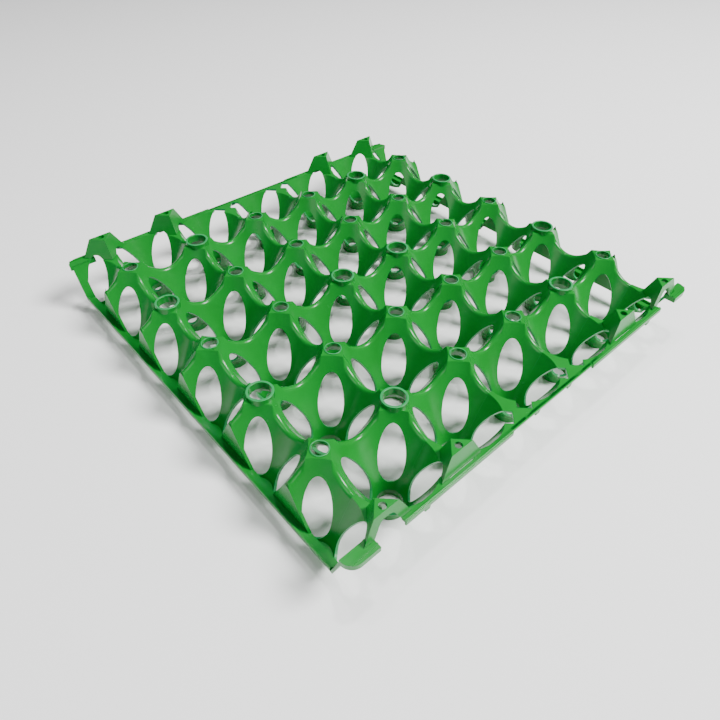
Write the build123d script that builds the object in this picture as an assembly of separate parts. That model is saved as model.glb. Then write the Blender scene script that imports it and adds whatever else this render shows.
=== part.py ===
from build123d import *
import os
from math import sqrt

# Egg tray for thirty eggs: one thin-walled moulding, written as its named regions.
# Millimetres, +Z up, origin at the middle of the footprint on the resting plane.

# Lattice of posts and cups
PITCH = 49.0            # post to post, both ways
POSTS_X = 6             # full posts along X
POSTS_Y = 5             # full posts along Y; half posts stand on both high sides
WALL = 1.5              # moulded wall

# Heights above the resting plane
FOOT_H = 4.5            # foot ring
FOOT_TOP = 7.5          # cup foot, up to just under the windows
LOW_RAIL_RISE = 4.0     # low rail over the cup feet
POST_TOP = 46.5         # rims and collars
HALF_POST_RISE = 2.0    # triangular plates of the half posts over the post tops
RAIL_RISE = 0.4         # high rail and platforms over the saddles between posts

# Cups
FOOT_BORE_R = 6.9       # inside of the foot ring
POST_FLAT = 5.3         # post axis to its diagonal wall, at the top
CREST_R = 2.5           # rounding of the ridges between cups

# Post tops
RIM_OD = 10.0
RIM_H = 2.5
RIM_WALL = 1.1
COLLAR_OD = 15.0
COLLAR_H = 5.0
SHOULDER_DROP = 1.2     # rim stands proud of the walls by this much

# Windows in the diagonal walls
WINDOW_W = 14.6
WINDOW_SILL = 1.1       # wall left between a window and the cup foot
WINDOW_HEAD = 8.7       # wall left between a window and the post top
WINDOW_BELLY = 0.476    # where a window is widest, as a share of its height
WINDOW_FROM = 7.0       # post axis to where the window's cut starts, behind the front faces

# Low sides, across X
LOW_RAIL_W = 5.4        # gusset panel to the outer edge of the low rail
LOW_LIP_W = 1.2
LOW_LIP_H = 1.6
LOW_RAIL_END = 13.5     # from the high side in to the end of the low rail

# High sides, across Y
RAIL_OUT = 1.5          # rail beyond the outermost line of half posts
RAIL_IN = 1.6
LIP_T = 1.2
LIP_DROP = 3.0
BEAD_W = 0.8
BEAD_H = 0.6
PLATE_HALF = 7.5        # half of the triangular plate's long edge
PLATE_SET = 3.5         # long edge of the plate, in from the border line
FACE_SET = 1.6          # foot of the sloping front face, in from the border line
PLATE_HOLE = 4.0
ARCH_W = 16.4           # arch through the front face and rail, at rail level
ARCH_TOP_W = 7.0
ARCH_HEAD = 4.5         # face left over the arch
ARCH_DROP = 12.0        # arch cut reaches this far under the rail
NUB_W = 4.0
NUB_H = 2.5
NUB_AT = (0.46, 2.2, 2.8, 4.54)   # nubs along the rail, in pitches from the first post

# Corner lugs
LUG_OUT = 2.6           # beyond the outermost line of half posts
LUG_SIDE = 1.4          # beyond the low rail
LUG_IN = 5.0            # from the border line in to the end wall of the corner half cup
LUG_R = 7.0
LUG_DROP = 3.5

# Slack for the tools that cut, and what counts as nothing
OVER = 1.0              # how far a cutting block runs past what it cuts
NEAR = 0.01             # two places closer than this are the same place
CRUMB = 0.5             # a cut-off scrap smaller than this is thrown away

# Worked out from the sizes above
HALF = PITCH / 2
DIAGONAL = PITCH / sqrt(2)
CUP_TOP_R = DIAGONAL - POST_FLAT
CUP_SLOPE = (POST_TOP - FOOT_H) / (CUP_TOP_R - FOOT_BORE_R)
WALL_ACROSS = WALL * sqrt(1 + CUP_SLOPE ** 2) / CUP_SLOPE     # wall, measured level
SADDLE_TOP = FOOT_H + (HALF - FOOT_BORE_R) * CUP_SLOPE - CREST_R * (sqrt(1 + CUP_SLOPE ** 2) - 1)
LOW_RAIL_TOP = FOOT_TOP + LOW_RAIL_RISE
HIGH_RAIL_TOP = SADDLE_TOP + RAIL_RISE
HALF_POST_TOP = POST_TOP + HALF_POST_RISE
ARCH_TOP = HALF_POST_TOP - ARCH_HEAD
TALL = HALF_POST_TOP + HALF
WINDOW_LOW = FOOT_TOP + WINDOW_SILL
WINDOW_HIGH = POST_TOP - WINDOW_HEAD
WINDOW_WIDEST = WINDOW_LOW + (WINDOW_HIGH - WINDOW_LOW) * WINDOW_BELLY
LOW_EDGE = HALF                      # post axis to the outer edge of the low rail
LOW_SIDE_CUT = LOW_EDGE - LOW_RAIL_W # post axis to the gusset panel

LAST_I = POSTS_X - 1
LAST_J = POSTS_Y - 1
WITH_ARCH = (0, LAST_I)
WITH_HALF_POST = (0, 1, LAST_I - 1, LAST_I)
PLATFORMS = tuple(i for i in range(POSTS_X) if i not in WITH_HALF_POST)
LARGE_BORE = (
    {(i, j) for i in WITH_ARCH for j in (1, LAST_J - 1)}
    | {(i, j) for i in (1, LAST_I - 1) for j in (0, LAST_J)}
    | {(i, LAST_J // 2) for i in (2, LAST_I - 2)}
)


def post_x(i):
    return (i - LAST_I / 2) * PITCH


def post_y(j):
    return (j - LAST_J / 2) * PITCH


def cup_r(z, grow=0.0):
    """Inside radius of a cup's cone at a height."""
    return FOOT_BORE_R + (z - FOOT_H) / CUP_SLOPE + grow


BORDER = post_y(0) - PITCH           # the outermost line of half posts, at the front


def box(x0, x1, y0, y1, z0, z1):
    """Block between two corners."""
    return Pos((x0 + x1) / 2, (y0 + y1) / 2, (z0 + z1) / 2) * Box(x1 - x0, y1 - y0, z1 - z0)


def prism(points, z0, z1):
    """Upright prism on a polygon."""
    return Pos(0, 0, z0) * extrude(make_face(Polyline(*points, close=True)), z1 - z0)


def disc(radius, z0, z1):
    """Upright round bar."""
    return Pos(0, 0, (z0 + z1) / 2) * Cylinder(radius, z1 - z0)


def tube(outer, inner, z0, z1):
    """Upright tube."""
    return disc(outer, z0, z1) - disc(inner, z0, z1)


def cup_cone(grow):
    """Solid cone that hollows out a cup, from its foot ring to over the post tops."""
    cone = Cone(cup_r(FOOT_H, grow), cup_r(TALL, grow), TALL - FOOT_H)
    return Pos(0, 0, (FOOT_H + TALL) / 2) * cone


def solids(shape):
    """The solids of a shape, or of a list of shapes, as a flat list."""
    if isinstance(shape, (list, tuple)):
        return [one for item in shape for one in solids(item)]
    return list(shape.solids())


def cut(shapes, *tools):
    """Cut every shape with every tool and keep what is left, as single solids."""
    left = []
    for shape in solids(shapes):
        parts = [shape]
        for tool in tools:
            parts = [one for part in parts for one in solids(part - tool)]
        left += parts
    return [one for one in left if one.volume > CRUMB]


def ridge(grow, radius):
    """Filled ridge from a post to the saddle, between two cups, with a rounded crest."""
    wedge = prism([(0, 0), (HALF, -HALF), (HALF, HALF)], FOOT_TOP, POST_TOP)
    body = wedge - Pos(HALF, HALF, 0) * cup_cone(grow) - Pos(HALF, -HALF, 0) * cup_cone(grow)
    crest = [e for e in body.edges() if abs(e.center().Y) < NEAR and e.bounding_box().size.X > POST_FLAT]
    crest = [e for e in crest if e.center().Z > (HIGH_RAIL_TOP + FOOT_TOP) / 2]
    return fillet(crest, radius)


def window_cutter():
    """Egg-shaped bar along the diagonal, wider low down."""
    low = WINDOW_WIDEST - WINDOW_LOW
    high = WINDOW_HIGH - WINDOW_WIDEST
    start = WINDOW_FROM / sqrt(2)
    plane = Plane(origin=(start, start, WINDOW_WIDEST), x_dir=(1, -1, 0), z_dir=(1, 1, 0))
    bottom = EllipticalCenterArc((0, 0), WINDOW_W / 2, low, start_angle=180, arc_size=180)
    top = EllipticalCenterArc((0, 0), WINDOW_W / 2, high, start_angle=0, arc_size=180)
    face = make_face([bottom, top])
    return extrude(plane * face, DIAGONAL - WINDOW_FROM)


CREST = ridge(0.0, CREST_R)
WINDOW = window_cutter()
WINDOWS = [Rot(0, 0, 90 * n) * WINDOW for n in range(4)]
ABOVE_RAIL = box(-PITCH, PITCH, -PITCH, PITCH, HIGH_RAIL_TOP, TALL)


def make_arm():
    """One arm of a post: its two wall leaves, each from the ridge's crest to the middle of a window."""
    shell = CREST - ridge(WALL_ACROSS, CREST_R - WALL)
    left = cut(shell, WINDOWS[0], box(-PITCH, PITCH, -PITCH, 0, -OVER, TALL))
    right = cut(shell, WINDOWS[3], box(-PITCH, PITCH, 0, PITCH, -OVER, TALL))
    return left + right


def post_arm(arm, bore_od, seat_h, top):
    """An arm cut to carry a rim or a collar."""
    seat = disc(bore_od / 2, POST_TOP - seat_h, TALL)
    above = box(-HALF, PITCH, -PITCH, PITCH, top, TALL)
    return cut(arm, seat, above)


ARM = make_arm()
SMALL_ARM = post_arm(ARM, RIM_OD, RIM_H, POST_TOP - SHOULDER_DROP)
LARGE_ARM = post_arm(ARM, COLLAR_OD, COLLAR_H, POST_TOP - COLLAR_H / 2)


def turned(shapes, quarter):
    return [Rot(0, 0, 90 * quarter) * s for s in shapes]


def placed(shapes, x, y, z=0.0):
    return [Pos(x, y, z) * s for s in solids(shapes)]


PAST_LOW_SIDE = box(LOW_SIDE_CUT, PITCH, -PITCH, PITCH, -OVER, TALL)
SIDE_TOOLS = {0: Rot(0, 0, 180) * PAST_LOW_SIDE, LAST_I: PAST_LOW_SIDE}


def post_row(j):
    """All arms of one row of full posts."""
    row = []
    for i in range(POSTS_X):
        arm = LARGE_ARM if (i, j) in LARGE_BORE else SMALL_ARM
        arms = [s for quarter in range(4) for s in turned(arm, quarter)]
        if i in SIDE_TOOLS:
            arms = cut(arms, SIDE_TOOLS[i])
        row += placed(arms, post_x(i), post_y(j))
    return row


def plate_outline(z):
    """Half-width of the half post's front edge and its set-in, at a height above the rail."""
    share = (z - HIGH_RAIL_TOP) / (HALF_POST_TOP - HIGH_RAIL_TOP)
    front = FACE_SET + (PLATE_SET - FACE_SET) * share
    base = sqrt(2) * (DIAGONAL - cup_r(HIGH_RAIL_TOP)) - FACE_SET
    return base + (PLATE_HALF - base) * share, front


def triangle(z, inset=0.0):
    """Right-angled section of a half post, its right angle pointing inwards (towards +Y)."""
    half, front = plate_outline(z)
    legs = half + front - inset * sqrt(2)
    front = front + inset
    half = legs - front
    return Pos(0, 0, z) * make_face(Polyline((-half, front), (half, front), (0, legs), close=True))


def arch_cutter():
    """Arch through the front face and the rail of the outermost half posts."""
    low = HIGH_RAIL_TOP - ARCH_DROP
    spring = ARCH_TOP - ARCH_TOP_W / 2
    left = Line((-ARCH_W / 2, low), (-ARCH_W / 2, HIGH_RAIL_TOP))
    left_leg = Line(left @ 1, (-ARCH_TOP_W / 2, spring))
    crown = ThreePointArc(left_leg @ 1, (0, ARCH_TOP), (ARCH_TOP_W / 2, spring))
    right_leg = Line(crown @ 1, (ARCH_W / 2, HIGH_RAIL_TOP))
    right = Line(right_leg @ 1, (ARCH_W / 2, low))
    sill = Line(right @ 1, left @ 0)
    face = make_face([left, left_leg, crown, right_leg, right, sill])
    reach = PLATE_SET + RAIL_OUT + OVER
    return extrude(Plane(origin=(0, 0, 0), x_dir=(1, 0, 0), z_dir=(0, -1, 0)) * face, reach, both=True)


ARCH = arch_cutter()


def half_post_cap(with_arch):
    """Hollow three-sided cap over a half post, open below, with its plate and hole."""
    outer = loft([triangle(HIGH_RAIL_TOP), triangle(HALF_POST_TOP)], ruled=True)
    inner = loft([triangle(HIGH_RAIL_TOP, WALL), triangle(HALF_POST_TOP, WALL)], ruled=True)
    hollow = inner - box(-PITCH, PITCH, -PITCH, PITCH, HALF_POST_TOP - WALL, TALL)
    hole_y = PLATE_SET + PLATE_HALF / 3
    hole = Pos(0, hole_y, 0) * disc(PLATE_HOLE / 2, HALF_POST_TOP - 2 * WALL, TALL)
    tools = [hollow, hole, WINDOWS[0], WINDOWS[1]]
    if with_arch:
        tools.append(ARCH)
    return cut(outer, *tools)


def platform():
    """Flat triangular plate at saddle level."""
    base = sqrt(2) * (DIAGONAL - cup_r(HIGH_RAIL_TOP)) - RAIL_IN
    corners = [(-base, RAIL_IN), (base, RAIL_IN), (0, base + RAIL_IN)]
    return prism(corners, HIGH_RAIL_TOP - WALL, HIGH_RAIL_TOP)


def on_side(shapes, side):
    """Copies made for the front side (-Y), turned round for the back side (+Y)."""
    return shapes if side < 0 else [Rot(0, 0, 180) * s for s in solids(shapes)]


RAIL_SPANS = (
    (post_x(0) + ARCH_W / 2, post_x(PLATFORMS[0]) - HALF / 2),
    (post_x(PLATFORMS[-1]) + HALF / 2, post_x(POSTS_X - 1) - ARCH_W / 2),
)
PLAIN_SPAN = (RAIL_SPANS[0][1], RAIL_SPANS[1][0])


def beaded_rail(x0, x1):
    """Rail with a bead along its top and a lip turned down along its outer edge."""
    top = HIGH_RAIL_TOP
    flange = box(x0, x1, BORDER - RAIL_OUT, BORDER + RAIL_IN, top - WALL, top)
    lip = box(x0, x1, BORDER - RAIL_OUT, BORDER - RAIL_OUT + LIP_T, top - LIP_DROP, top - WALL)
    bead = box(x0, x1, BORDER - BEAD_W, BORDER, top, top + BEAD_H)
    return flange + lip + bead


def plain_rail(x0, x1):
    """Thin rail along the platforms."""
    return box(x0, x1, BORDER - RAIL_OUT / 2, BORDER + RAIL_IN, HIGH_RAIL_TOP - WALL, HIGH_RAIL_TOP)


def front_rails():
    return [beaded_rail(*span) for span in RAIL_SPANS] + [plain_rail(*PLAIN_SPAN)]


def nubs():
    """Small blocks under the rail."""
    made = []
    for at in NUB_AT:
        x = post_x(0) + at * PITCH
        plain = PLAIN_SPAN[0] < x < PLAIN_SPAN[1]
        under = HIGH_RAIL_TOP - (WALL if plain else LIP_DROP)
        edge = BORDER - (RAIL_OUT / 2 if plain else RAIL_OUT)
        made.append(box(x - NUB_W / 2, x + NUB_W / 2, edge, edge + LIP_T, under - NUB_H, under))
    return made


def lug(side_x):
    """Corner lug at the front: a flange with a rounded corner and a lip turned down."""
    x_out = post_x(0) - LOW_EDGE - LUG_SIDE
    x_in = post_x(0) - ARCH_W / 2
    y_out = BORDER - LUG_OUT
    y_in = BORDER + LUG_IN
    top = HIGH_RAIL_TOP
    block = box(x_out, x_in, y_out, y_in, top - LUG_DROP, top)
    upright = block.edges().filter_by(Axis.Z)
    corner = [e for e in upright if e.center().X < x_out + NEAR and e.center().Y < y_out + NEAR]
    under = box(x_out + LIP_T, x_in + OVER, y_out + LIP_T, y_in + OVER, top - LUG_DROP - OVER, top - WALL)
    plate = fillet(corner, LUG_R) - under
    bead = box(x_out + LUG_R, x_in, BORDER - BEAD_W, BORDER, top, top + BEAD_H)
    piece = plate + bead
    return piece if side_x < 0 else mirror(piece, Plane.YZ)


def gusset():
    """Flat panel that closes the end of a ridge on the -X side, around its post's axis."""
    slab = box(LOW_SIDE_CUT, LOW_SIDE_CUT + WALL, -PITCH, PITCH, LOW_RAIL_TOP, TALL)
    return Rot(0, 0, 180) * (slab & CREST)


def end_wall():
    """Leaning wall that ends the corner half cup of the front left, from the low rail up to the lug."""
    low = LOW_RAIL_TOP - WALL
    high = HIGH_RAIL_TOP - WALL
    foot_y = BORDER + LOW_RAIL_END
    head_y = BORDER + LUG_IN
    across = WALL * sqrt(1 + ((foot_y - head_y) / (high - low)) ** 2)
    inner_face = [(foot_y, low), (head_y, high)]
    outer_face = [(y - across, z) for y, z in reversed(inner_face)]
    outline = make_face(Polyline(*inner_face, *outer_face, close=True))
    x_out = post_x(0) - LOW_EDGE
    slab = extrude(Plane(origin=(x_out, 0, 0), x_dir=(0, 1, 0), z_dir=(1, 0, 0)) * outline, HALF)
    half_cup = Pos(x_out, BORDER + HALF, 0) * cup_cone(0.0)
    past_panel = box(x_out, post_x(0) - LOW_SIDE_CUT, BORDER, BORDER + HALF, 0, TALL)
    return (slab & past_panel) + ((slab - past_panel) & half_cup)


def gusset_column(walls):
    """Every gusset panel of the -X side, between the end walls of its corner half cups."""
    panel = gusset()
    return [Pos(post_x(0), post_y(j), 0) * panel for j in range(POSTS_Y)] + walls


def low_rail(walls):
    """Low rail on the -X side: a flat strip with a lip up along its outer edge."""
    x_out = post_x(0) - LOW_EDGE
    x_in = post_x(0) - LOW_SIDE_CUT
    y_end = -BORDER - LOW_RAIL_END
    strip = box(x_out, x_in, -y_end, y_end, LOW_RAIL_TOP - WALL, LOW_RAIL_TOP)
    lip = box(x_out, x_out + LOW_LIP_W, -y_end, y_end, LOW_RAIL_TOP, LOW_RAIL_TOP + LOW_LIP_H)
    return cut(strip + lip, *walls)


def half_cup_floor():
    """Floor of a half cup on the -X side and the kerb up to its low rail, around the cup's axis."""
    x_in = HALF - LOW_SIDE_CUT
    floor = disc(cup_r(FOOT_TOP, WALL_ACROSS), FOOT_TOP - WALL, FOOT_TOP)
    floor = floor - box(-PITCH, x_in, -PITCH, PITCH, -OVER, TALL)
    kerb = box(x_in - WALL, x_in, -HALF, HALF, FOOT_TOP - WALL, LOW_RAIL_TOP - WALL)
    return floor + (kerb & cup_cone(WALL_ACROSS))


def cup_foot():
    """Foot of a cup: an open ring, and the start of the cone above it."""
    outline = Polyline(
        (FOOT_BORE_R, 0),
        (FOOT_BORE_R + WALL, 0),
        (FOOT_BORE_R + WALL, FOOT_H),
        (cup_r(FOOT_TOP, WALL_ACROSS), FOOT_TOP),
        (cup_r(FOOT_TOP), FOOT_TOP),
        (FOOT_BORE_R, FOOT_H),
        close=True,
    )
    return revolve(Plane.XZ * make_face(outline), Axis.Z)


def write(name, shapes):
    """Write one node as a group of its solids."""
    group = Compound(children=solids(shapes))
    export_step(group, os.path.join("parts", name + ".step"))
    print(name, len(solids(shapes)), "solids")


def write_posts():
    """Rows of full posts, with their rims and collars."""
    for j in range(POSTS_Y):
        write(f"post_row_{j + 1}", post_row(j))
    rim = tube(RIM_OD / 2, RIM_OD / 2 - RIM_WALL, POST_TOP - RIM_H, POST_TOP)
    collar = tube(COLLAR_OD / 2, COLLAR_OD / 2 - WALL, POST_TOP - COLLAR_H, POST_TOP)
    small_bore = [(i, j) for i in range(POSTS_X) for j in range(POSTS_Y) if (i, j) not in LARGE_BORE]
    write("small_rims", [Pos(post_x(i), post_y(j), 0) * rim for i, j in small_bore])
    write("large_collars", [Pos(post_x(i), post_y(j), 0) * collar for i, j in sorted(LARGE_BORE)])


def write_feet():
    """Rows of cup feet, one row for each row of cups."""
    foot = cup_foot()
    for j in range(-1, POSTS_Y):
        row = [Pos(post_x(i) + HALF, post_y(j) + HALF, 0) * foot for i in range(LAST_I)]
        write(f"cup_feet_row_{j + 2}", row)


def edge_post(i, shelf):
    """Walls under the border line at one half post or platform, around its own axis."""
    tools = [box(-PITCH, PITCH, -PITCH, 0, -OVER, TALL), ABOVE_RAIL]
    if i in PLATFORMS:
        tools.append(shelf)
    if i in WITH_ARCH:
        tools += [ARCH, SIDE_TOOLS[i]]
    inner_arms = [one for quarter in (0, 1, 2) for one in turned(ARM, quarter)]
    return cut(inner_arms, *tools)


def write_high_side(side, name, rails, lugs):
    """One high side: made as the front one, and turned round for the back one."""
    shelf = platform()
    edge = [one for i in range(POSTS_X) for one in placed(edge_post(i, shelf), post_x(i), BORDER)]
    caps = [one for i in WITH_HALF_POST for one in placed(half_post_cap(i in WITH_ARCH), post_x(i), BORDER)]
    shelves = [one for i in PLATFORMS for one in placed(shelf, post_x(i), BORDER)]
    write(f"{name}_edge_walls", on_side(cut(edge, *rails, *lugs.values()), side))
    write(f"{name}_half_posts", on_side(caps, side))
    write(f"{name}_platforms", on_side(shelves, side))
    write(f"{name}_rail", on_side(rails, side))
    write(f"{name}_rail_nubs", on_side(nubs(), side))
    for side_x, corner in ((-1, "left"), (1, "right")):
        write(f"{name}_{corner}_lug", on_side(lugs[-side * side_x], side))


def write_low_side(side, name):
    """One low side: made as the -X one, and turned round for the +X one."""
    turn = Rot(0, 0, 90 + 90 * side)
    floor = half_cup_floor()
    walls = [end_wall(), mirror(end_wall(), Plane.XZ)]
    floors = [Pos(post_x(0) - HALF, post_y(j) + HALF, 0) * floor for j in range(-1, POSTS_Y)]
    write(f"{name}_low_rail", [turn * one for one in low_rail(walls)])
    write(f"{name}_half_cup_floors", [turn * one for one in floors])
    write(f"{name}_gusset_panels", [turn * one for one in gusset_column(walls)])


def main():
    os.makedirs("parts", exist_ok=True)
    rails = front_rails()
    lugs = {-1: lug(-1), 1: lug(1)}
    write_posts()
    write_feet()
    write_high_side(-1, "front", rails, lugs)
    write_high_side(1, "back", rails, lugs)
    write_low_side(-1, "left")
    write_low_side(1, "right")


main()
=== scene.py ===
# %% [markdown]
# # A moulded egg tray, made in Blender
# The tray is one thin, glossy green moulding. Thirty round cups are sunk into it, and what is
# left between the cups are hollow posts with a window in each of their four walls. We make it in
# that order: cups, posts and windows first, then the rails, lugs and small fittings.

# %% Open the frame
from math import hypot, pi, radians, sqrt

import bpy
from mathutils import Matrix, Vector


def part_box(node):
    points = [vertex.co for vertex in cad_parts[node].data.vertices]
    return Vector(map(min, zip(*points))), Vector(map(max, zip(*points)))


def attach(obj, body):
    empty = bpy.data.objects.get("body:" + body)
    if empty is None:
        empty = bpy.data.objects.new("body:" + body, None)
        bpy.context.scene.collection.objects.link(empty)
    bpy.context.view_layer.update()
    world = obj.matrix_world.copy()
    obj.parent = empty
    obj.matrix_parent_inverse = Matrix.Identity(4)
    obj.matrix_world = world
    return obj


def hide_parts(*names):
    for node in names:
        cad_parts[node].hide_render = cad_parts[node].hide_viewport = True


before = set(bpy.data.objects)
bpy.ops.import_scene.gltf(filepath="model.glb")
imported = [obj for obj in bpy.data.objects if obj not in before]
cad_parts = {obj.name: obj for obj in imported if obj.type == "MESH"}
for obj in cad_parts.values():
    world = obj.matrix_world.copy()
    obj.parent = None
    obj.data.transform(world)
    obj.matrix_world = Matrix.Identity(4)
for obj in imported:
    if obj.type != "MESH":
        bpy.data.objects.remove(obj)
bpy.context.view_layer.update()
print("frame nodes:", len(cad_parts))

# %% [markdown]
# ## Sizes
# Every size is in metres. The places come from the frame's own boxes, so that the new pieces
# stand exactly where the frame says. The wall and the small radii are the moulding's own.

# %% Read the places from the frame
MM = 0.001
NEAR = 1e-6             # two places closer than this are the same place
WALL = 1.5 * MM
RIM_R = 5.0 * MM
COLLAR_R = 7.5 * MM
rims_low, rims_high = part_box("small_rims")
COLUMNS, ROWS = 6, 5
PITCH = (rims_high.x - rims_low.x - 2 * RIM_R) / (COLUMNS - 1)
HALF = PITCH / 2
POST_TOP = rims_high.z
FOOT_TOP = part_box("cup_feet_row_1")[1].z
BORDER = PITCH * (ROWS + 1) / 2
COLUMN_X = [PITCH * (i - (COLUMNS - 1) / 2) for i in range(COLUMNS)]
ROW_Y = [PITCH * (j - (ROWS - 1) / 2) for j in range(ROWS)]
LARGE = {(0, 1), (0, 3), (5, 1), (5, 3), (1, 0), (1, 4), (4, 0), (4, 4), (2, 2), (3, 2)}
PLATE_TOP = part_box("front_half_posts")[1].z
RAIL_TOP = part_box("front_platforms")[1].z
print("pitch", round(PITCH, 5), "post top", round(POST_TOP, 5), "rail top", round(RAIL_TOP, 5))

# %% [markdown]
# ## A few hand tools
# An operator works on everything that is selected, so each tool first lets go of all objects and
# then takes hold of one. Faces and edges are picked in code, by where they are.

# %% Hold one object
def hold(obj):
    bpy.ops.object.select_all(action="DESELECT")
    obj.select_set(True)
    bpy.context.view_layer.objects.active = obj


def just_made(name):
    obj = bpy.context.active_object
    obj.name = name
    return obj


# %% Pick faces, edges or points by their place
def pick(obj, kind, wanted):
    hold(obj)
    bpy.ops.object.mode_set(mode="EDIT")
    bpy.ops.mesh.select_mode(type=kind)
    bpy.ops.mesh.select_all(action="DESELECT")
    bpy.ops.object.mode_set(mode="OBJECT")
    mesh = obj.data
    if kind == "FACE":
        for face in mesh.polygons:
            face.select = wanted(face)
    elif kind == "EDGE":
        for edge in mesh.edges:
            a, b = (mesh.vertices[v].co for v in edge.vertices)
            edge.select = wanted(a, b)
    else:
        for point in mesh.vertices:
            point.select = wanted(point.co)
    bpy.ops.object.mode_set(mode="EDIT")


def put_down():
    bpy.ops.object.mode_set(mode="OBJECT")


# %% Carve one solid out of another
def carve(obj, tool, operation="DIFFERENCE"):
    hold(obj)
    step = obj.modifiers.new("carve", "BOOLEAN")
    step.operation = operation
    step.object = tool
    step.solver = "EXACT"
    bpy.ops.object.modifier_apply(modifier=step.name)
    bpy.data.objects.remove(tool)


# %% Slice a mesh with a plane
def slice_off(obj, place, normal, keep_under=True, fill=False):
    """Cut at a plane and drop what is on the normal's side."""
    pick(obj, "FACE", lambda face: True)
    bpy.ops.mesh.bisect(
        plane_co=place, plane_no=normal, clear_outer=keep_under, use_fill=fill, threshold=1e-7
    )
    put_down()


def weld(obj, gap=5e-6):
    pick(obj, "VERT", lambda co: True)
    bpy.ops.mesh.remove_doubles(threshold=gap)
    put_down()


def block(name, low, high):
    low, high = Vector(low), Vector(high)
    bpy.ops.object.select_all(action="DESELECT")
    bpy.ops.mesh.primitive_cube_add(size=1, location=(low + high) / 2, scale=high - low)
    made = just_made(name)
    bpy.ops.object.transform_apply(location=True, rotation=True, scale=True)
    return made


# %% [markdown]
# ## The cup's cone
# An egg cup is a straight cone, so its wall is the same all the way round. The cone's slope
# follows from two circles: the foot ring's bore, and the widest circle that still leaves the
# post standing at its top.

# %% Work out the cone
FOOT_H = 4.5 * MM
BORE_R = 6.9 * MM
POST_FLAT = 5.3 * MM
CONE_TOP = 60 * MM      # well over everything that the cone carves
AROUND = 120
CUP_SLOPE = (POST_TOP - FOOT_H) / (HALF * sqrt(2) - POST_FLAT - BORE_R)


def cup_r(z):
    return BORE_R + (z - FOOT_H) / CUP_SLOPE


print("cup radius at the post tops:", round(cup_r(POST_TOP) * 1000, 2), "mm")


# %% Make the cone as a solid tool
def cup_tool(x, y):
    low, high = FOOT_H, CONE_TOP
    middle = (x, y, (low + high) / 2)
    bpy.ops.object.select_all(action="DESELECT")
    bpy.ops.mesh.primitive_cone_add(
        vertices=AROUND, radius1=cup_r(low), radius2=cup_r(high), depth=high - low, location=middle
    )
    made = just_made("cup tool")
    bpy.ops.object.transform_apply(location=True, rotation=True, scale=True)
    return made


# %% [markdown]
# ## The window
# Each wall has an egg-shaped window, pointed a little at the top and widest below its middle. We
# start from a round bar, stretch its upper and lower halves by different amounts, and lay it
# along the post's diagonal.

# %% Make the window bar
WINDOW_HALF_W = 7.3 * MM
WINDOW_LOW = FOOT_TOP + 1.1 * MM
WINDOW_HIGH = POST_TOP - 8.7 * MM
WINDOW_WIDEST = WINDOW_LOW + (WINDOW_HIGH - WINDOW_LOW) * 0.476
WINDOW_FROM = 7.0 * MM  # from the post's axis, so that the front faces stay whole
WINDOW_PAST = 10 * MM   # how far the bar runs past the cup's axis


def window_tool(turn=0.0):
    long = HALF * sqrt(2) - WINDOW_FROM + WINDOW_PAST
    lying = (pi / 2, 0, 0)
    bpy.ops.object.select_all(action="DESELECT")
    bpy.ops.mesh.primitive_cylinder_add(vertices=36, radius=WINDOW_HALF_W, depth=long, rotation=lying)
    made = just_made("window tool")
    bpy.ops.object.transform_apply(location=True, rotation=True, scale=True)
    stretch_up = (WINDOW_HIGH - WINDOW_WIDEST) / WINDOW_HALF_W
    stretch_down = (WINDOW_WIDEST - WINDOW_LOW) / WINDOW_HALF_W
    for half, stretch in ((1, stretch_up), (-1, stretch_down)):
        pick(made, "VERT", lambda co: co.z * half > 1e-7)
        bpy.ops.transform.resize(value=(1, 1, stretch), center_override=(0, 0, 0))
        put_down()
    made.location = (0, WINDOW_FROM + long / 2, WINDOW_WIDEST)
    hold(made)
    bpy.ops.object.transform_apply(location=True, rotation=True, scale=True)
    made.rotation_euler = (0, 0, turn - pi / 4)
    bpy.ops.object.transform_apply(location=True, rotation=True, scale=True)
    return made


# %% [markdown]
# ## One post
# All four walls of a post are alike, so we make one quarter of it and mirror it twice. The
# quarter starts as a block. A cone carves the cup's wall, a bar opens the window, and then only
# the faces that an egg could see are kept: the wall and the flat top.

# %% Carve a quarter
def quarter(top, hole_r):
    spare = 5 * MM
    body = block("quarter", (0, 0, FOOT_TOP), (HALF + spare, HALF + spare, top))
    carve(body, cup_tool(HALF, HALF))
    carve(body, window_tool())
    if hole_r:
        bpy.ops.object.select_all(action="DESELECT")
        bpy.ops.mesh.primitive_cylinder_add(vertices=32, radius=hole_r, depth=0.2)
        tool = just_made("bore tool")
        carve(body, tool)
    wall_nz = 1 / sqrt(1 + CUP_SLOPE ** 2)

    def unseen(face):
        n = face.normal
        if n.z > 0.99:
            return False
        on_wall = abs(n.z - wall_nz) < 0.03 and n.x + n.y > 0.5
        return not on_wall

    pick(body, "FACE", unseen)
    bpy.ops.mesh.delete(type="FACE")
    put_down()
    slice_off(body, (HALF, 0, 0), (1, 0, 0))
    slice_off(body, (0, HALF, 0), (0, 1, 0))
    weld(body)
    return body


# %% Mirror it into a whole post, and round the ridges
CREST_W = 4.35 * MM


def whole_post(name, top, hole_r):
    post = quarter(top, hole_r)
    post.name = name
    hold(post)
    step = post.modifiers.new("four walls", "MIRROR")
    step.use_axis = (True, True, False)
    step.use_clip = True
    step.merge_threshold = 1e-5
    bpy.ops.object.modifier_apply(modifier=step.name)

    def on_crest(a, b):
        along_x = abs(a.y) < NEAR and abs(b.y) < NEAR
        along_y = abs(a.x) < NEAR and abs(b.x) < NEAR
        flat_top = a.z > top - NEAR and b.z > top - NEAR
        return (along_x or along_y) and not flat_top

    pick(post, "EDGE", on_crest)
    bpy.ops.mesh.bevel(
        offset_type="WIDTH", offset=CREST_W, segments=6, profile=0.5, affect="EDGES", clamp_overlap=False
    )
    put_down()
    return post


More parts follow.
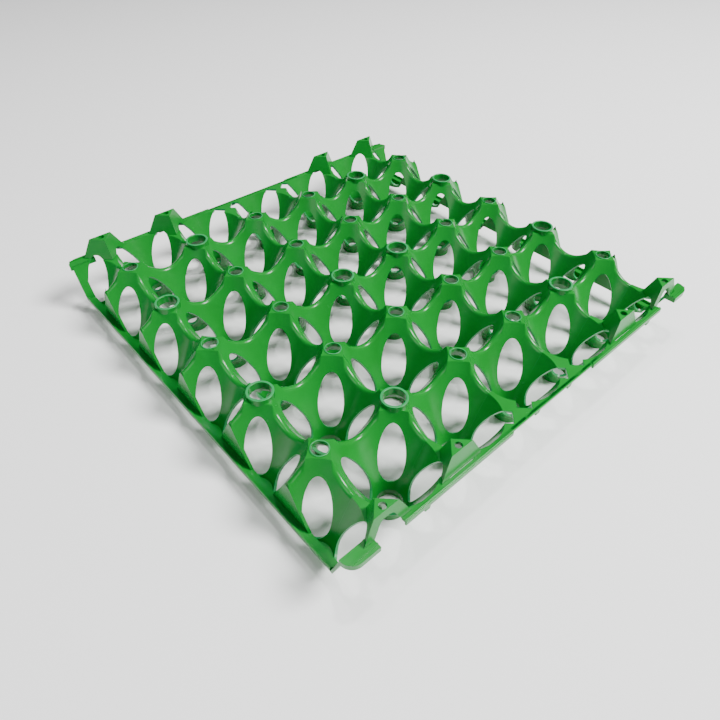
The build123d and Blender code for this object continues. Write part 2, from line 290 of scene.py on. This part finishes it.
# %% Round the shoulder of its flat top
def round_shoulder(post, top, hole_r, width):

    def on_outline(a, b):
        at_top = abs(a.z - top) < NEAR and abs(b.z - top) < NEAR
        past_hole = min(hypot(a.x, a.y), hypot(b.x, b.y)) > hole_r + 10 * NEAR
        inside_lines = (abs(a.x) < NEAR and abs(b.x) < NEAR) or (abs(a.y) < NEAR and abs(b.y) < NEAR)
        return at_top and past_hole and not inside_lines

    pick(post, "EDGE", on_outline)
    bpy.ops.mesh.bevel(
        offset_type="OFFSET", offset=width, segments=2, profile=0.5, affect="EDGES", clamp_overlap=True
    )
    put_down()


SMALL_TOP, SMALL_BORE_R = POST_TOP - 0.5 * MM, 4.4 * MM
LARGE_TOP, LARGE_BORE_R = POST_TOP - 2.5 * MM, 6.6 * MM
SHOULDER_W = 0.9 * MM
small_post = whole_post("small post", SMALL_TOP, SMALL_BORE_R)
round_shoulder(small_post, SMALL_TOP, SMALL_BORE_R, SHOULDER_W)
large_post = whole_post("large post", LARGE_TOP, LARGE_BORE_R)
print("small post:", len(small_post.data.polygons), "faces; large:", len(large_post.data.polygons))

# %% [markdown]
# ## The foot of a cup
# Under its windows a cup narrows to a short ring that the tray stands on. It is the same wall
# carried on downwards, so it is drawn up from a circle: straight for the ring's bore, then out
# along the cone until it meets the posts.

# %% Draw the foot up from a circle
def cup_foot():
    bpy.ops.object.select_all(action="DESELECT")
    bpy.ops.mesh.primitive_circle_add(vertices=AROUND, radius=BORE_R)
    foot = just_made("cup foot")
    bend = 0.6 * MM
    level, radius = 0.0, BORE_R
    rings = (
        (FOOT_H - bend, BORE_R),
        (FOOT_H, BORE_R + 0.08 * MM),
        (FOOT_H + bend, cup_r(FOOT_H + bend)),
        (FOOT_TOP, cup_r(FOOT_TOP)),
    )
    for next_level, next_radius in rings:
        pick(foot, "VERT", lambda co: co.z > level - 1e-6)
        bpy.ops.mesh.extrude_region_move(TRANSFORM_OT_translate={"value": (0, 0, next_level - level)})
        grow = next_radius / radius
        bpy.ops.transform.resize(value=(grow, grow, 1), center_override=(0, 0, next_level))
        put_down()
        level, radius = next_level, next_radius
    wall = foot.data.polygons[0]
    if wall.normal.x * wall.center.x + wall.normal.y * wall.center.y > 0:
        pick(foot, "FACE", lambda face: True)
        bpy.ops.mesh.flip_normals()
        put_down()
    return foot


foot = cup_foot()
foot_high = max(point.co.z for point in foot.data.vertices)
print("foot:", len(foot.data.polygons), "faces, top", round(foot_high / MM, 2), "mm")

# %% [markdown]
# ## Set out the lattice
# The posts stand on a square lattice. Along the two high sides the outermost line has half posts
# and platforms, so there a post is cut at the level of the rail and only its inner half is kept.
# On the two low sides the lattice stops at a line of upright panels.

# %% Copy one piece to a place
def copy_to(source, x, y, turn=0.0):
    made = source.copy()
    made.data = source.data.copy()
    bpy.context.collection.objects.link(made)
    made.rotation_euler = (0, 0, turn)
    made.location = (x, y, 0)
    hold(made)
    bpy.ops.object.transform_apply(location=True, rotation=True, scale=True)
    return made


def join(pieces, name):
    bpy.ops.object.select_all(action="DESELECT")
    for piece in pieces:
        piece.select_set(True)
    bpy.context.view_layer.objects.active = pieces[0]
    bpy.ops.object.join()
    return just_made(name)


def half_of(source, name):
    """The half of a post on the +Y side of its own axis."""
    made = copy_to(source, 0, 0)
    made.name = name
    slice_off(made, (0, 0, 0), (0, -1, 0))
    return made


# %% Make the two kinds of edge post
shelf_whole = whole_post("shelf post", RAIL_TOP, 0)
shelf_post = half_of(shelf_whole, "shelf half")
CAP_GAP = 0.2 * MM      # keeps the cut post just under the tops of the rails and lugs
CAP_BORE_R = 9 * MM
cap_whole = whole_post("cap post", RAIL_TOP - CAP_GAP, CAP_BORE_R)
cap_post = half_of(cap_whole, "cap half")
WITH_PLATE = (0, 1, COLUMNS - 2, COLUMNS - 1)
set_out = []
for i, x in enumerate(COLUMN_X):
    for j, y in enumerate(ROW_Y):
        set_out.append(copy_to(large_post if (i, j) in LARGE else small_post, x, y))
    edge = cap_post if i in WITH_PLATE else shelf_post
    set_out.append(copy_to(edge, x, -BORDER))
    set_out.append(copy_to(edge, x, BORDER, pi))
tray = join(set_out, "tray_walls")
weld(tray)
print("lattice:", len(tray.data.polygons), "faces")

# %% Cut the low sides
LOW_EDGE = COLUMN_X[0] - HALF
LOW_RAIL_W = 5.4 * MM
PANEL_X = LOW_EDGE + LOW_RAIL_W
for side in (-1, 1):
    slice_off(tray, (side * abs(PANEL_X), 0, 0), (side, 0, 0))

# %% [markdown]
# ## Give the wall its thickness
# So far the tray is a skin with no thickness. Solidify grows it by one wall, away from the eggs,
# and closes every rim. The faces it makes along the rims get the second material, a lighter green
# that is painted light: it stands in for the light that shows through the thin edges of such plastic
# and for their highlights. Only the edges that a finger can feel are rounded: those of the windows
# and of the cut top faces.

# %% Thicken, round and smooth
def thicken(obj, wall=WALL, even=False):
    hold(obj)
    step = obj.modifiers.new("wall", "SOLIDIFY")
    step.thickness = wall
    step.offset = -1
    step.use_quality_normals = True
    step.use_even_offset = even
    # The rim faces take the second finish, the lighter green of the painted edge light.
    step.material_offset_rim = 1
    bpy.ops.object.modifier_apply(modifier=step.name)


def round_edges(obj, width, segments=1, angle=50):
    hold(obj)
    step = obj.modifiers.new("edges", "BEVEL")
    step.width = width
    step.segments = segments
    step.limit_method = "ANGLE"
    step.angle_limit = radians(angle)
    step.use_clamp_overlap = True
    bpy.ops.object.modifier_apply(modifier=step.name)


def smooth(obj, angle=40):
    hold(obj)
    bpy.ops.object.shade_smooth_by_angle(angle=radians(angle))
    step = obj.modifiers.new("normals", "WEIGHTED_NORMAL")
    step.keep_sharp = True
    bpy.ops.object.modifier_apply(modifier=step.name)


def triangles(obj):
    return sum(len(face.vertices) - 2 for face in obj.data.polygons)


# %% Two finishes to be filled in later
plastic = bpy.data.materials.new("green moulded plastic")
# The second finish is painted light: its lighter green stands in for light showing through the thin plastic
# edges and for their highlights.
painted_edge_light = bpy.data.materials.new("green plastic painted edge light")


def dress(obj):
    obj.data.materials.clear()
    obj.data.materials.append(plastic)
    obj.data.materials.append(painted_edge_light)


finished = []


def finish(obj, *nodes, angle=40):
    """Smooth a piece, let it ride on the frame and hide the frame nodes that it stands for."""
    smooth(obj, angle)
    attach(obj, "root")
    if nodes:
        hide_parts(*nodes)
    finished.append(obj)
    print(obj.name, triangles(obj), "triangles")


# %% Finish the lattice of walls
dress(tray)
thicken(tray)
# The rims along the foot go back to the plain green, so the painted edge light stays on the windows and the
# cut tops.
for face in tray.data.polygons:
    low_rim = face.material_index == 1 and face.center.z < FOOT_TOP + 0.1 * MM
    if low_rim:
        face.material_index = 0
hold(tray)
EDGE_W = 0.25 * MM
rims = set()
for face in tray.data.polygons:
    if face.material_index == 1:
        rims.update(tuple(sorted(key)) for key in face.edge_keys)
walls = set()
for face in tray.data.polygons:
    if face.material_index == 0:
        walls.update(tuple(sorted(key)) for key in face.edge_keys)
felt = rims & walls
pick(tray, "EDGE", lambda a, b: False)
put_down()
for edge in tray.data.edges:
    edge.select = tuple(sorted(edge.vertices)) in felt
bpy.ops.object.mode_set(mode="EDIT")
# The rounded edges take the second finish too: more painted edge light.
bpy.ops.mesh.bevel(
    offset_type="OFFSET", offset=EDGE_W, segments=1, affect="EDGES", clamp_overlap=True, material=1
)
put_down()
walls_nodes = [f"post_row_{j}" for j in range(1, ROWS + 1)]
walls_nodes += ["front_edge_walls", "back_edge_walls", "front_platforms", "back_platforms"]
finish(tray, *walls_nodes)

# %% Finish the feet, one piece for each row of cups
dress(foot)
thicken(foot)
for j in range(ROWS + 1):
    row = [copy_to(foot, COLUMN_X[i] + HALF, -BORDER + HALF + j * PITCH) for i in range(COLUMNS - 1)]
    finish(join(row, f"cup_feet_{j + 1}"), f"cup_feet_row_{j + 1}")
for spare in (small_post, large_post, shelf_whole, shelf_post, cap_whole, cap_post, foot):
    bpy.data.objects.remove(spare)

# %% [markdown]
# ## Rims and collars
# A post ends in a short tube. Twenty posts have a thin rim that slips into the foot ring of the
# tray above. Ten have a wider collar that the ring stands on. Both are open cylinders that are
# given a wall and then rounded lips.

# %% Make the tubes
def tube(name, radius, low, high, wall):
    middle = (0, 0, (low + high) / 2)
    bpy.ops.object.select_all(action="DESELECT")
    bpy.ops.mesh.primitive_cylinder_add(
        vertices=48, radius=radius, depth=high - low, end_fill_type="NOTHING", location=middle
    )
    made = just_made(name)
    bpy.ops.object.transform_apply(location=True, rotation=True, scale=True)
    dress(made)
    thicken(made, wall)
    round_edges(made, 0.3 * MM, 3)
    return made


RIM_H, RIM_WALL, COLLAR_H = 2.6 * MM, 0.8 * MM, 5.0 * MM
rim = tube("rim", RIM_R, POST_TOP - RIM_H, POST_TOP, RIM_WALL)
collar = tube("collar", COLLAR_R, POST_TOP - COLLAR_H, POST_TOP, WALL)
places = [(i, j) for i in range(COLUMNS) for j in range(ROWS)]
for source, name, wanted in ((rim, "small_rims", False), (collar, "large_collars", True)):
    copies = [copy_to(source, COLUMN_X[i], ROW_Y[j]) for i, j in places if ((i, j) in LARGE) == wanted]
    finish(join(copies, name + "_round"), name)
    bpy.data.objects.remove(source)

# %% [markdown]
# ## Half posts
# On the high sides each half post ends in a three-cornered plate with a small hole, over a flat
# front face that leans back a little. It is a three-sided block whose corners are dragged to
# their places. The outermost ones have an arch through the front face.

# %% Drag the corners of a three-sided block
FACE_SET, PLATE_SET, PLATE_HALF = 1.6 * MM, 3.5 * MM, 7.5 * MM
CAP_BASE = sqrt(2) * (HALF * sqrt(2) - cup_r(RAIL_TOP)) - FACE_SET


def drag(obj, is_point, goal):
    pick(obj, "VERT", is_point)
    chosen = [point.co.copy() for point in obj.data.vertices if is_point(point.co)]
    bpy.ops.transform.translate(value=Vector(goal) - chosen[0])
    put_down()


def three_sided():
    middle, tall = (RAIL_TOP + PLATE_TOP) / 2, PLATE_TOP - RAIL_TOP
    bpy.ops.object.select_all(action="DESELECT")
    bpy.ops.mesh.primitive_cylinder_add(vertices=3, radius=0.1, depth=tall, location=(0, 0, middle))
    cap = just_made("cap")
    bpy.ops.object.transform_apply(location=True, rotation=True, scale=True)
    for high, half, front in ((False, CAP_BASE, FACE_SET), (True, PLATE_HALF, PLATE_SET)):
        z = PLATE_TOP if high else RAIL_TOP
        at_level = lambda co: (co.z > middle) == high
        drag(cap, lambda co: at_level(co) and co.x < -0.05, (-half, front, z))
        drag(cap, lambda co: at_level(co) and co.x > 0.05, (half, front, z))
        drag(cap, lambda co: at_level(co) and co.y > 0.05, (0, front + half, z))
    return cap


# %% Arch through the front face
ARCH_W, ARCH_TOP_W, ARCH_TOP = 16.4 * MM, 7.0 * MM, PLATE_TOP - 4.5 * MM


def arch_tool():
    low = RAIL_TOP - 8 * MM
    tool = block("arch tool", (-ARCH_W / 2, -6 * MM, low), (ARCH_W / 2, 6 * MM, ARCH_TOP))
    pick(tool, "FACE", lambda face: True)
    bpy.ops.mesh.bisect(plane_co=(0, 0, RAIL_TOP), plane_no=(0, 0, 1), threshold=1e-7)
    put_down()
    pick(tool, "VERT", lambda co: co.z > ARCH_TOP - 1e-6)
    bpy.ops.transform.resize(value=(ARCH_TOP_W / ARCH_W, 1, 1), center_override=(0, 0, ARCH_TOP))
    put_down()
    pick(tool, "EDGE", lambda a, b: a.z > ARCH_TOP - 1e-6 and b.z > ARCH_TOP - 1e-6 and abs(a.x - b.x) < 1e-6)
    bpy.ops.mesh.bevel(offset_type="OFFSET", offset=2.2 * MM, segments=6, affect="EDGES", clamp_overlap=True)
    put_down()
    return tool


# %% Finish one cap
def half_post_cap(with_arch):
    cap = three_sided()
    pick(cap, "FACE", lambda face: face.normal.z < -0.9)
    bpy.ops.mesh.delete(type="FACE")
    put_down()
    dress(cap)
    thicken(cap, even=True)
    for turn in (0, pi / 2):
        carve(cap, window_tool(turn))
    bpy.ops.object.select_all(action="DESELECT")
    hole_at = (0, PLATE_SET + PLATE_HALF / 3, PLATE_TOP)
    bpy.ops.mesh.primitive_cylinder_add(vertices=32, radius=2 * MM, depth=8 * MM, location=hole_at)
    carve(cap, just_made("hole tool"))
    if with_arch:
        carve(cap, arch_tool())
    round_edges(cap, 0.45 * MM, 3, angle=30)
    return cap


plain_cap, arched_cap = half_post_cap(False), half_post_cap(True)
for side, name, turn in ((-1, "front", 0), (1, "back", pi)):
    caps = []
    for i in WITH_PLATE:
        source = arched_cap if i in (0, COLUMNS - 1) else plain_cap
        caps.append(copy_to(source, COLUMN_X[i], side * BORDER, turn))
    finish(join(caps, f"{name}_half_post_caps"), f"{name}_half_posts")
for spare in (plain_cap, arched_cap):
    bpy.data.objects.remove(spare)

# %% [markdown]
# ## Rails
# A rail is a flat strip with a lip turned down along its outer edge and a thin bead on top. Both
# are pushed out of the strip: it is scored along a line first, so that there is a narrow face to
# push.

# %% Score and push
def score(obj, place, normal):
    pick(obj, "FACE", lambda face: True)
    bpy.ops.mesh.bisect(plane_co=place, plane_no=normal, threshold=1e-7)
    put_down()


def push(obj, wanted, move):
    pick(obj, "FACE", wanted)
    bpy.ops.mesh.extrude_region_move(TRANSFORM_OT_translate={"value": move})
    put_down()


# %% Make the high rails
RAIL_OUT, RAIL_IN, LIP_T, LIP_DROP = 1.5 * MM, 1.6 * MM, 1.2 * MM, 3.0 * MM
BEAD_W, BEAD_H = 0.8 * MM, 0.6 * MM
STEP_X = COLUMN_X[2] - HALF / 2


def beaded_rail(x0, x1):
    rail = block("rail", (x0, -BORDER - RAIL_OUT, RAIL_TOP - WALL), (x1, -BORDER + RAIL_IN, RAIL_TOP))
    for y in (-BORDER - RAIL_OUT + LIP_T, -BORDER - BEAD_W, -BORDER):
        score(rail, (0, y, 0), (0, 1, 0))
    lip_y = -BORDER - RAIL_OUT + LIP_T
    push(rail, lambda face: face.normal.z < -0.9 and face.center.y < lip_y, (0, 0, WALL - LIP_DROP))
    on_bead = lambda face: face.normal.z > 0.9 and -BORDER - BEAD_W < face.center.y < -BORDER
    push(rail, on_bead, (0, 0, BEAD_H))
    dress(rail)
    round_edges(rail, 0.25 * MM, 2)
    return rail


def plain_rail(x0, x1):
    out_y, in_y = -BORDER - RAIL_OUT / 2, -BORDER + RAIL_IN
    rail = block("plain rail", (x0, out_y, RAIL_TOP - WALL), (x1, in_y, RAIL_TOP))
    dress(rail)
    round_edges(rail, 0.3 * MM, 2)
    return rail


rails = [
    beaded_rail(COLUMN_X[0] + ARCH_W / 2, STEP_X),
    plain_rail(STEP_X, -STEP_X),
    beaded_rail(-STEP_X, COLUMN_X[-1] - ARCH_W / 2),
]
front_rail = join(rails, "front_rail_strip")
back_rail = copy_to(front_rail, 0, 0, pi)
back_rail.name = "back_rail_strip"
finish(front_rail, "front_rail")
finish(back_rail, "back_rail")

# %% [markdown]
# ## Nubs and corner lugs
# Small blocks hang under the high rails, and each corner has a lug with one rounded corner. Both
# start as blocks. A lug could be drawn as an outline and filled, but a bevel on one upright edge
# gives the same round corner, and an inset of its underside leaves the lip that hangs down.

# %% Nubs under the rail
NUB_W, NUB_H = 4.0 * MM, 2.5 * MM
NUB_AT = (0.46, 2.2, 2.8, 4.54)     # along the rail, in pitches from the first post
nubs = []
for at in NUB_AT:
    x = COLUMN_X[0] + at * PITCH
    plain = abs(x) < abs(STEP_X)
    top = RAIL_TOP - (WALL if plain else LIP_DROP)
    y = -BORDER - (RAIL_OUT / 2 if plain else RAIL_OUT)
    nub = block("nub", (x - NUB_W / 2, y, top - NUB_H), (x + NUB_W / 2, y + LIP_T, top))
    pick(nub, "VERT", lambda co: co.z < top - 1 * MM)
    bpy.ops.transform.resize(value=(0.8, 1, 1), center_override=(x, y, top))
    put_down()
    dress(nub)
    round_edges(nub, 0.3 * MM, 2)
    nubs.append(nub)
front_nubs = join(nubs, "front_nubs")
back_nubs = copy_to(front_nubs, 0, 0, pi)
back_nubs.name = "back_nubs"
finish(front_nubs, "front_rail_nubs")
finish(back_nubs, "back_rail_nubs")

# %% Corner lugs
LUG_OUT, LUG_SIDE, LUG_IN = 2.6 * MM, 1.4 * MM, 5.0 * MM
LUG_DROP, LUG_R = 3.5 * MM, 7.0 * MM


def corner_lug(x0, x1):
    """A lug between two places along the front, the first one its rounded outer corner."""
    out_y, in_y = -BORDER - LUG_OUT, -BORDER + LUG_IN
    low, high = RAIL_TOP - LUG_DROP, RAIL_TOP
    lug = block("lug", (min(x0, x1), out_y, low), (max(x0, x1), in_y, high))

    def at_corner(co):
        return abs(co.x - x0) < NEAR and co.y < out_y + NEAR

    def looks_down(face):
        return face.normal.z < -0.9

    def on_bead(face):
        on_top = face.normal.z > 0.9 and face.center.z > high - NEAR
        return on_top and -BORDER - BEAD_W < face.center.y < -BORDER

    pick(lug, "EDGE", lambda a, b: at_corner(a) and at_corner(b))
    bpy.ops.mesh.bevel(offset_type="OFFSET", offset=LUG_R, segments=14, affect="EDGES", clamp_overlap=True)
    put_down()
    pick(lug, "FACE", looks_down)
    bpy.ops.mesh.inset(thickness=LIP_T)
    put_down()
    inner = max(face.area for face in lug.data.polygons if looks_down(face))
    push(lug, lambda face: looks_down(face) and face.area > 0.9 * inner, (0, 0, LUG_DROP - WALL))
    score(lug, (0, -BORDER - BEAD_W, 0), (0, 1, 0))
    score(lug, (0, -BORDER, 0), (0, 1, 0))
    push(lug, on_bead, (0, 0, BEAD_H))
    dress(lug)
    round_edges(lug, 0.25 * MM, 2)
    return lug


left_lug = corner_lug(LOW_EDGE - LUG_SIDE, COLUMN_X[0] - ARCH_W / 2)
right_lug = corner_lug(-LOW_EDGE + LUG_SIDE, COLUMN_X[-1] + ARCH_W / 2)
for lug, name, across in ((left_lug, "left", "right"), (right_lug, "right", "left")):
    turned = copy_to(lug, 0, 0, pi)
    lug.name = f"front_{name}_lug_round"
    turned.name = f"back_{across}_lug_round"
    finish(lug, f"front_{name}_lug")
    finish(turned, f"back_{across}_lug")

# %% [markdown]
# ## Low sides
# Along the two low sides the tray ends in a low rail. The outermost half cups have a flat floor
# down at the level of the cup feet, with a kerb up to the rail. Each ridge that arrives from
# inside ends in an upright bell-shaped panel, and a leaning wall ends the corner half cups.

# %% Low rail
LOW_TOP = FOOT_TOP + 4.0 * MM
RAIL_END = BORDER - 13.5 * MM
LOW_LIP_W, LOW_LIP_H = 1.2 * MM, 1.6 * MM
low_rail = block("left_low_rail_strip", (LOW_EDGE, -RAIL_END, LOW_TOP - WALL), (PANEL_X, RAIL_END, LOW_TOP))
LOW_LIP_X = LOW_EDGE + LOW_LIP_W
score(low_rail, (LOW_LIP_X, 0, 0), (1, 0, 0))
push(low_rail, lambda face: face.normal.z > 0.9 and face.center.x < LOW_LIP_X, (0, 0, LOW_LIP_H))
dress(low_rail)
round_edges(low_rail, 0.25 * MM, 2)

# %% Floors of the half cups
KERB_HALF = 10.2 * MM   # half the kerb's length under the rail, where the cup is wide
KERB_TAPER = 0.76       # its length at the floor, as a share of that
floors = []
for j in range(ROWS + 1):
    y = -BORDER + HALF + j * PITCH
    bpy.ops.object.select_all(action="DESELECT")
    middle = (LOW_EDGE, y, FOOT_TOP - WALL / 2)
    bpy.ops.mesh.primitive_cylinder_add(
        vertices=AROUND, radius=cup_r(FOOT_TOP) + WALL, depth=WALL, location=middle
    )
    floor = just_made("half cup floor")
    bpy.ops.object.transform_apply(location=True, rotation=True, scale=True)
    slice_off(floor, (PANEL_X, 0, 0), (-1, 0, 0), fill=True)
    low, high = FOOT_TOP - WALL, LOW_TOP - WALL
    kerb = block("kerb", (PANEL_X - WALL, y - KERB_HALF, low), (PANEL_X, y + KERB_HALF, high))
    pick(kerb, "VERT", lambda co: co.z < high - NEAR)
    bpy.ops.transform.resize(value=(1, KERB_TAPER, 1), center_override=(PANEL_X, y, low))
    put_down()
    for piece in (floor, kerb):
        dress(piece)
        floors.append(piece)
half_floors = join(floors, "left_floors")

# %% [markdown]
# ## Panels and end walls
# A panel is a thin block that the same two cones carve, so its sides follow the cups exactly. An
# end wall is a thin block too: its upper points are moved outwards to make it lean, and the part
# past the panels is kept only inside the cup's cone, where it meets the cup's wall.

# %% Bell-shaped panels
PANEL_SUNK = 0.2 * MM   # the panels run this far into the rail
SHORTEST_RIDGE = 0.1 * MM
RIDGE_FROM = 30 * MM    # a panel's rounded crest is all over this height
panels = []
for y in ROW_Y:
    panel = block("panel", (PANEL_X - WALL, y - HALF, LOW_TOP - PANEL_SUNK), (PANEL_X, y + HALF, POST_TOP))
    for across in (-1, 1):
        carve(panel, cup_tool(LOW_EDGE, y + across * HALF))

    def on_ridge(a, b):
        on_middle = abs(a.y - y) < NEAR and abs(b.y - y) < NEAR
        return on_middle and abs(a.x - b.x) > SHORTEST_RIDGE and a.z > RIDGE_FROM

    pick(panel, "EDGE", on_ridge)
    bpy.ops.mesh.bevel(offset_type="WIDTH", offset=CREST_W, segments=6, affect="EDGES", clamp_overlap=False)
    put_down()
    dress(panel)
    panels.append(panel)

# %% End walls of the corner half cups
END_WALL_T = 1.6 * MM   # its wall, measured level
END_WALL_IN = 8 * MM    # how far it runs past the panels before the cup's cone stops it
for end in (-1, 1):
    foot_y, head_y = end * RAIL_END, end * (BORDER - LUG_IN)
    low, high = LOW_TOP - WALL, RAIL_TOP - WALL
    near_y, far_y = sorted((foot_y, foot_y + end * END_WALL_T))
    for x0, x1 in ((LOW_EDGE, PANEL_X), (PANEL_X, PANEL_X + END_WALL_IN)):
        wall = block("end wall", (x0, near_y, low), (x1, far_y, high))
        pick(wall, "VERT", lambda co: co.z > high - NEAR)
        bpy.ops.transform.translate(value=(0, head_y - foot_y, 0))
        put_down()
        if x0 == PANEL_X:
            carve(wall, cup_tool(LOW_EDGE, end * (BORDER - HALF)), "INTERSECT")
        dress(wall)
        panels.append(wall)
bells = join(panels, "left_panels")

# %% Turn the low side round for the other one
for piece, node in ((low_rail, "low_rail"), (half_floors, "half_cup_floors"), (bells, "gusset_panels")):
    other = copy_to(piece, 0, 0, pi)
    other.name = piece.name.replace("left", "right")
    finish(piece, f"left_{node}")
    finish(other, f"right_{node}")

# %% [markdown]
# ## The plastic
# The tray is moulded from coloured polypropylene: an even green, glossy, with faint cloudy flow
# marks where the melt ran and a very fine orange-peel skin. The colour is mixed from two greens by
# a slow noise, and three finer noises vary the gloss and the skin. The effect is a node group,
# and the thin edges use it again with lighter greens: painted light, standing in for light that
# shows through the thin edges and for their highlights.

# %% Build the shared effect
def moulded_skin():
    group = bpy.data.node_groups.new("moulded skin", "ShaderNodeTree")
    face = group.interface
    face.new_socket(name="Green", in_out="INPUT", socket_type="NodeSocketColor")
    face.new_socket(name="Flow green", in_out="INPUT", socket_type="NodeSocketColor")
    face.new_socket(name="Gloss", in_out="INPUT", socket_type="NodeSocketFloat")
    face.new_socket(name="Colour", in_out="OUTPUT", socket_type="NodeSocketColor")
    face.new_socket(name="Roughness", in_out="OUTPUT", socket_type="NodeSocketFloat")
    face.new_socket(name="Normal", in_out="OUTPUT", socket_type="NodeSocketVector")
    nodes, links = group.nodes, group.links
    inlet, outlet = nodes.new("NodeGroupInput"), nodes.new("NodeGroupOutput")
    place = nodes.new("ShaderNodeTexCoord")

    def noise(scale, detail, distortion=0.0):
        made = nodes.new("ShaderNodeTexNoise")
        made.inputs["Scale"].default_value = scale
        made.inputs["Detail"].default_value = detail
        made.inputs["Distortion"].default_value = distortion
        links.new(place.outputs["Object"], made.inputs["Vector"])
        return made

    flow = noise(34, 4, 1.2)
    spread = nodes.new("ShaderNodeMapRange")
    spread.inputs["From Min"].default_value = 0.35
    spread.inputs["From Max"].default_value = 0.7
    links.new(flow.outputs["Fac"], spread.inputs["Value"])
    mix = nodes.new("ShaderNodeMix")
    mix.data_type = "RGBA"
    links.new(spread.outputs["Result"], mix.inputs["Factor"])
    links.new(inlet.outputs["Green"], mix.inputs["A"])
    links.new(inlet.outputs["Flow green"], mix.inputs["B"])
    links.new(mix.outputs["Result"], outlet.inputs["Colour"])

    handled = noise(160, 3)
    gloss = nodes.new("ShaderNodeMath")
    gloss.operation = "MULTIPLY_ADD"
    gloss.inputs[1].default_value = 0.14
    links.new(handled.outputs["Fac"], gloss.inputs[0])
    links.new(inlet.outputs["Gloss"], gloss.inputs[2])
    links.new(gloss.outputs["Value"], outlet.inputs["Roughness"])

    peel = noise(900, 2)
    sink = noise(120, 1)
    skin = nodes.new("ShaderNodeBump")
    skin.inputs["Strength"].default_value = 0.25
    skin.inputs["Distance"].default_value = 0.00004
    links.new(peel.outputs["Fac"], skin.inputs["Height"])
    soft = nodes.new("ShaderNodeBump")
    soft.inputs["Strength"].default_value = 0.35
    soft.inputs["Distance"].default_value = 0.0004
    links.new(sink.outputs["Fac"], soft.inputs["Height"])
    links.new(skin.outputs["Normal"], soft.inputs["Normal"])
    links.new(soft.outputs["Normal"], outlet.inputs["Normal"])
    return group


skin_group = moulded_skin()


# %% Mix the two finishes
def mix_plastic(material, green, flow_green, gloss):
    material.use_nodes = True
    nodes, links = material.node_tree.nodes, material.node_tree.links
    shader = nodes["Principled BSDF"]
    skin = nodes.new("ShaderNodeGroup")
    skin.node_tree = skin_group
    skin.inputs["Green"].default_value = (*green, 1)
    skin.inputs["Flow green"].default_value = (*flow_green, 1)
    skin.inputs["Gloss"].default_value = gloss
    links.new(skin.outputs["Colour"], shader.inputs["Base Color"])
    links.new(skin.outputs["Roughness"], shader.inputs["Roughness"])
    links.new(skin.outputs["Normal"], shader.inputs["Normal"])
    shader.inputs["IOR"].default_value = 1.49
    shader.inputs["Specular IOR Level"].default_value = 0.36


mix_plastic(plastic, (0.0, 0.2, 0.02), (0.0, 0.175, 0.015), 0.17)
# The lighter greens are painted light, standing in for light through the thin edges and for edge highlights.
mix_plastic(painted_edge_light, (0.02, 0.27, 0.08), (0.014, 0.24, 0.065), 0.22)
print("finishes:", plastic.name, "and", painted_edge_light.name)

# %% [markdown]
# ## Floor, light and camera
# The tray stands on a plain pale floor. A large soft lamp to the right of the camera lights the
# faces that look towards it, a weaker one fills in, and two small lamps make the pairs of little
# highlights that a glossy ridge shows.

# %% Floor and surroundings
bpy.ops.object.select_all(action="DESELECT")
bpy.ops.mesh.primitive_plane_add(size=8, location=(0, 0, -0.0002))
ground = just_made("floor")
bpy.ops.object.transform_apply(location=True, rotation=True, scale=True)
paper = bpy.data.materials.new("pale floor")
paper.use_nodes = True
paper.node_tree.nodes["Principled BSDF"].inputs["Base Color"].default_value = (0.93, 0.93, 0.93, 1)
paper.node_tree.nodes["Principled BSDF"].inputs["Roughness"].default_value = 0.9
ground.data.materials.append(paper)
world = bpy.data.worlds.new("studio")
world.use_nodes = True
world.node_tree.nodes["Background"].inputs["Color"].default_value = (1, 1, 1, 1)
world.node_tree.nodes["Background"].inputs["Strength"].default_value = 0.16
bpy.context.scene.world = world


# %% Lamps
def lamp(name, place, size, power, aim=(0, 0, 0)):
    data = bpy.data.lights.new(name, "AREA")
    data.shape = "DISK"
    data.size = size
    data.energy = power
    made = bpy.data.objects.new(name, data)
    bpy.context.collection.objects.link(made)
    made.location = place
    made.rotation_euler = (Vector(aim) - Vector(place)).to_track_quat("-Z", "Y").to_euler()
    return made


lamp("key", (0.9, -1.1, 1.7), 0.8, 105)
lamp("fill", (-1.4, -0.3, 1.2), 1.2, 9)
lamp("glint", (0.25, 0.1, 1.6), 0.12, 8)
lamp("small glint", (-0.05, 0.35, 1.5), 0.07, 3)

# %% [markdown]
# ## Camera
# The camera is close to one corner and looks steeply down, so that the near posts look much
# larger than the far ones.

# %% Camera
eye = Vector((-0.2209, -0.2347, 0.2655))
ahead = Vector((0.4826, 0.5343, -0.6940)).normalized()
right = Vector((0.74615, -0.66574, 0.00634))
right = (right - ahead * right.dot(ahead)).normalized()
up = right.cross(ahead)
camera_data = bpy.data.cameras.new("camera")
camera_data.sensor_width = 36
camera_data.lens = 29.0
camera_data.clip_start = 0.01
camera = bpy.data.objects.new("camera", camera_data)
bpy.context.collection.objects.link(camera)
turn = Matrix((right, up, -ahead)).transposed().to_4x4()
camera.matrix_world = Matrix.Translation(eye) @ turn
bpy.context.scene.camera = camera

# %% Count the pieces and triangles, and finish
total = sum(triangles(piece) for piece in finished)
print("pieces:", len(finished), "triangles:", total)
